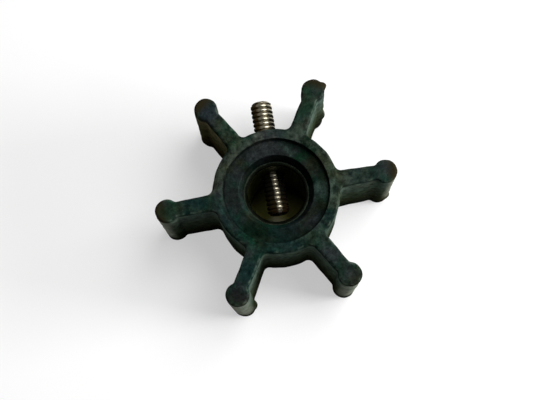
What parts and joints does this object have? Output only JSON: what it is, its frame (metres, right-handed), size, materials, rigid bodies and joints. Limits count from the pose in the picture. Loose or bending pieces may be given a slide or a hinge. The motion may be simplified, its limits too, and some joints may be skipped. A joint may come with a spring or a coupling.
{
  "type": "rubber pump impeller",
  "caption": "Flexible rubber impeller with beaded vanes, a brass sleeve for the pump shaft and a set screw through the hub that drives it.",
  "frame": {"origin": "on the shaft axis, in the plane of the end face that the impeller stands on", "axes": "+Z along the shaft axis, out of the front end; +Y along the drive screw, towards its slotted end; one vane along +X"},
  "size_m": [0.0514, 0.0452, 0.022],
  "materials": {
    "vane_rubber": "matt moulded rubber, green-black, worn paler along its edges",
    "sleeve_brass": "dull turned brass",
    "screw_steel": "bright rolled thread, stainless"
  },
  "bodies": {
    "root": {"rubber_body": "vane_rubber", "brass_insert": "sleeve_brass", "drive_screw": "screw_steel"}
  },
  "joints": []
}
